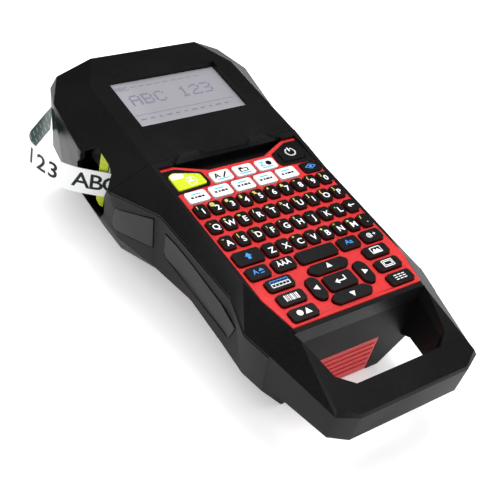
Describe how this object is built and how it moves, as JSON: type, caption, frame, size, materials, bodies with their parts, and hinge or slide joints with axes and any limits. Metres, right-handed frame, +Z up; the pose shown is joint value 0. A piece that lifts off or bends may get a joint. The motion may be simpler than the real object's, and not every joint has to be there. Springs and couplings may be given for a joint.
{
  "type": "handheld label printer",
  "caption": "Handheld thermal label printer: display head over a tape bay, keyboard deck, loop handle, side tape exit with a printed strip, sliding battery cover and hinged tape cover.",
  "frame": {"origin": "middle of the rest face of the foot bar under the front of the display head, on the table, in the middle plane of the body", "axes": "+Z up from the table, +Y from the loop handle towards the rear of the display head, +X to the right of someone typing"},
  "size_m": [0.1498, 0.2769, 0.0866],
  "materials": {
    "case_black": "fine matt moulded texture",
    "case_grey": "matt moulded texture",
    "grip": "smooth satin insert",
    "lens": "clear hard coat over the display",
    "lcd": "display module",
    "red_plastic": "satin",
    "circuit_board": "solder mask",
    "battery": "sleeved pack",
    "contact_metal": "nickel plated",
    "cartridge": "smooth",
    "tape": "laminated tape",
    "ribbon": "ink film",
    "gear_plastic": "acetal",
    "brass": "turned",
    "ceramic": "ceramic substrate",
    "steel": "rolled sheet",
    "rubber": "matt",
    "screw_steel": "black oxide",
    "lime": "satin",
    "socket_plastic": "moulded",
    "white_key": "satin",
    "black_key": "satin rubber keys"
  },
  "bodies": {
    "case": {"upper_case": "case_black", "display_hood": "case_black", "display_lens": "lens", "lcd_panel": "lcd", "key_plate": "red_plastic", "key_board": "circuit_board", "lower_case": "case_grey", "side_grips": "grip", "battery_pack": "battery", "battery_contacts": "contact_metal", "hinge_pin": "contact_metal", "tape_cartridge": "cartridge", "label_strip": "tape", "feed_motor": "steel", "chassis": "steel", "main_board": "circuit_board", "case_screws": "screw_steel", "feet": "rubber", "exit_guide": "lime", "sockets": "socket_plastic"},
    "battery_cover": {"battery_cover": "red_plastic"},
    "tape_cover": {"tape_cover": "case_grey"},
    "cover_latch": {"cover_latch": "case_grey"},
    "port_cover": {"port_cover": "case_grey"},
    "tape_reel": {"tape_reel": "tape"},
    "ribbon_supply": {"ribbon_supply": "ribbon"},
    "ribbon_takeup": {"ribbon_takeup": "ribbon", "takeup_gear": "gear_plastic"},
    "platen": {"platen_roller": "rubber", "platen_gear": "gear_plastic"},
    "idler_gear": {"idler_gear": "gear_plastic"},
    "motor_pinion": {"motor_pinion": "brass"},
    "cutter_blade": {"cutter_blade": "steel"},
    "head_arm": {"head_arm": "steel", "print_head": "ceramic"},
    "print_key": {"print_key": "lime"},
    "power_key": {"power_key": "black_key"},
    "up_key": {"up_key": "black_key"},
    "down_key": {"down_key": "black_key"},
    "left_key": {"left_key": "black_key"},
    "right_key": {"right_key": "black_key"},
    "enter_key": {"enter_key": "black_key"},
    "space_key": {"space_key": "black_key"},
    "shift_key": {"shift_key": "black_key"},
    "caps_key": {"caps_key": "black_key"},
    "accent_key": {"accent_key": "black_key"},
    "case_key": {"case_key": "black_key"},
    "symbol_key": {"symbol_key": "black_key"},
    "table_key": {"table_key": "black_key"},
    "barcode_key": {"barcode_key": "black_key"},
    "shape_key": {"shape_key": "black_key"},
    "picture_key": {"picture_key": "black_key"},
    "frame_key": {"frame_key": "black_key"},
    "column_key": {"column_key": "black_key"},
    "preview_key": {"preview_key": "black_key"},
    "function_keys": {"function_keys": "white_key"},
    "digit_keys": {"digit_keys": "black_key"},
    "letter_keys_1": {"letter_keys_1": "black_key"},
    "letter_keys_2": {"letter_keys_2": "black_key"},
    "letter_keys_3": {"letter_keys_3": "black_key"}
  },
  "joints": [
    {"name": "battery_cover_slide", "type": "slide", "parent": "case", "child": "battery_cover", "axis": [0, -0.9954, -0.0958], "range_m": [0, 0.06]},
    {"name": "tape_cover_hinge", "type": "hinge", "parent": "case", "child": "tape_cover", "pos_m": [0, 0.0616, 0.0032], "axis": [1, 0, 0], "range_deg": [0, 95]},
    {"name": "cover_latch_slide", "type": "slide", "parent": "tape_cover", "child": "cover_latch", "axis": [0, 1, 0], "range_m": [0, 0.002], "stiffness_N_per_m": 200},
    {"name": "port_cover_hinge", "type": "hinge", "parent": "case", "child": "port_cover", "pos_m": [0.033, 0.0699, 0.0432], "axis": [-1, 0, 0], "range_deg": [0, 100]},
    {"name": "platen_spin", "type": "hinge", "parent": "case", "child": "platen", "pos_m": [-0.04378, -0.00316, 0.03858], "axis": [0, -0.0958, 0.9954], "continuous": true},
    {"name": "idler_spin", "type": "hinge", "parent": "case", "child": "idler_gear", "pos_m": [-0.02448, 0.00206, 0.03908], "axis": [0, -0.0958, 0.9954], "continuous": true},
    {"name": "pinion_spin", "type": "hinge", "parent": "case", "child": "motor_pinion", "pos_m": [-0.00898, -0.00439, 0.03846], "axis": [0, -0.0958, 0.9954], "continuous": true},
    {"name": "takeup_spin", "type": "hinge", "parent": "case", "child": "ribbon_takeup", "pos_m": [-0.02197, 0.02101, 0.04091], "axis": [0, -0.0958, 0.9954], "continuous": true},
    {"name": "reel_spin", "type": "hinge", "parent": "case", "child": "tape_reel", "pos_m": [0.0135, 0.03312, 0.04207], "axis": [0, -0.0958, 0.9954], "continuous": true},
    {"name": "supply_spin", "type": "hinge", "parent": "case", "child": "ribbon_supply", "pos_m": [-0.02, 0.04606, 0.04332], "axis": [0, -0.0958, 0.9954], "continuous": true},
    {"name": "head_release", "type": "hinge", "parent": "case", "child": "head_arm", "pos_m": [-0.04672, 0.01359, 0.04019], "axis": [0, -0.0958, 0.9954], "range_deg": [0, 8], "stiffness_Nm_per_rad": 0.3},
    {"name": "cutter_stroke", "type": "slide", "parent": "case", "child": "cutter_blade", "axis": [0.5698, 0.818, 0.0788], "range_m": [0, 0.0024], "stiffness_N_per_m": 150},
    {"name": "print_key_press", "type": "slide", "parent": "case", "child": "print_key", "axis": [0, 0.0958, -0.9954], "range_m": [0, 0.0008], "stiffness_N_per_m": 400},
    {"name": "power_key_press", "type": "slide", "parent": "case", "child": "power_key", "axis": [0, 0.0958, -0.9954], "range_m": [0, 0.0008], "stiffness_N_per_m": 400},
    {"name": "up_key_press", "type": "slide", "parent": "case", "child": "up_key", "axis": [0, 0.0958, -0.9954], "range_m": [0, 0.0008], "stiffness_N_per_m": 400},
    {"name": "down_key_press", "type": "slide", "parent": "case", "child": "down_key", "axis": [0, 0.0958, -0.9954], "range_m": [0, 0.0008], "stiffness_N_per_m": 400},
    {"name": "left_key_press", "type": "slide", "parent": "case", "child": "left_key", "axis": [0, 0.0958, -0.9954], "range_m": [0, 0.0008], "stiffness_N_per_m": 400},
    {"name": "right_key_press", "type": "slide", "parent": "case", "child": "right_key", "axis": [0, 0.0958, -0.9954], "range_m": [0, 0.0008], "stiffness_N_per_m": 400},
    {"name": "enter_key_press", "type": "slide", "parent": "case", "child": "enter_key", "axis": [0, 0.0958, -0.9954], "range_m": [0, 0.0008], "stiffness_N_per_m": 400},
    {"name": "space_key_press", "type": "slide", "parent": "case", "child": "space_key", "axis": [0, 0.0958, -0.9954], "range_m": [0, 0.0008], "stiffness_N_per_m": 400},
    {"name": "shift_key_press", "type": "slide", "parent": "case", "child": "shift_key", "axis": [0, 0.0958, -0.9954], "range_m": [0, 0.0008], "stiffness_N_per_m": 400},
    {"name": "caps_key_press", "type": "slide", "parent": "case", "child": "caps_key", "axis": [0, 0.0958, -0.9954], "range_m": [0, 0.0008], "stiffness_N_per_m": 400},
    {"name": "accent_key_press", "type": "slide", "parent": "case", "child": "accent_key", "axis": [0, 0.0958, -0.9954], "range_m": [0, 0.0008], "stiffness_N_per_m": 400},
    {"name": "case_key_press", "type": "slide", "parent": "case", "child": "case_key", "axis": [0, 0.0958, -0.9954], "range_m": [0, 0.0008], "stiffness_N_per_m": 400},
    {"name": "symbol_key_press", "type": "slide", "parent": "case", "child": "symbol_key", "axis": [0, 0.0958, -0.9954], "range_m": [0, 0.0008], "stiffness_N_per_m": 400},
    {"name": "table_key_press", "type": "slide", "parent": "case", "child": "table_key", "axis": [0, 0.0958, -0.9954], "range_m": [0, 0.0008], "stiffness_N_per_m": 400},
    {"name": "barcode_key_press", "type": "slide", "parent": "case", "child": "barcode_key", "axis": [0, 0.0958, -0.9954], "range_m": [0, 0.0008], "stiffness_N_per_m": 400},
    {"name": "shape_key_press", "type": "slide", "parent": "case", "child": "shape_key", "axis": [0, 0.0958, -0.9954], "range_m": [0, 0.0008], "stiffness_N_per_m": 400},
    {"name": "picture_key_press", "type": "slide", "parent": "case", "child": "picture_key", "axis": [0, 0.0958, -0.9954], "range_m": [0, 0.0008], "stiffness_N_per_m": 400},
    {"name": "frame_key_press", "type": "slide", "parent": "case", "child": "frame_key", "axis": [0, 0.0958, -0.9954], "range_m": [0, 0.0008], "stiffness_N_per_m": 400},
    {"name": "column_key_press", "type": "slide", "parent": "case", "child": "column_key", "axis": [0, 0.0958, -0.9954], "range_m": [0, 0.0008], "stiffness_N_per_m": 400},
    {"name": "preview_key_press", "type": "slide", "parent": "case", "child": "preview_key", "axis": [0, 0.0958, -0.9954], "range_m": [0, 0.0008], "stiffness_N_per_m": 400},
    {"name": "function_keys_press", "type": "slide", "parent": "case", "child": "function_keys", "axis": [0, 0.0958, -0.9954], "range_m": [0, 0.0008], "stiffness_N_per_m": 400},
    {"name": "digit_keys_press", "type": "slide", "parent": "case", "child": "digit_keys", "axis": [0, 0.0958, -0.9954], "range_m": [0, 0.0008], "stiffness_N_per_m": 400},
    {"name": "letter_keys_1_press", "type": "slide", "parent": "case", "child": "letter_keys_1", "axis": [0, 0.0958, -0.9954], "range_m": [0, 0.0008], "stiffness_N_per_m": 400},
    {"name": "letter_keys_2_press", "type": "slide", "parent": "case", "child": "letter_keys_2", "axis": [0, 0.0958, -0.9954], "range_m": [0, 0.0008], "stiffness_N_per_m": 400},
    {"name": "letter_keys_3_press", "type": "slide", "parent": "case", "child": "letter_keys_3", "axis": [0, 0.0958, -0.9954], "range_m": [0, 0.0008], "stiffness_N_per_m": 400}
  ],
  "couplings": [
    {"joint": "idler_spin", "follows": "platen_spin", "ratio": -0.66667},
    {"joint": "pinion_spin", "follows": "platen_spin", "ratio": 1.6667},
    {"joint": "takeup_spin", "follows": "platen_spin", "ratio": 1.1111},
    {"joint": "reel_spin", "follows": "platen_spin", "ratio": 0.24},
    {"joint": "supply_spin", "follows": "platen_spin", "ratio": 0.64}
  ]
}
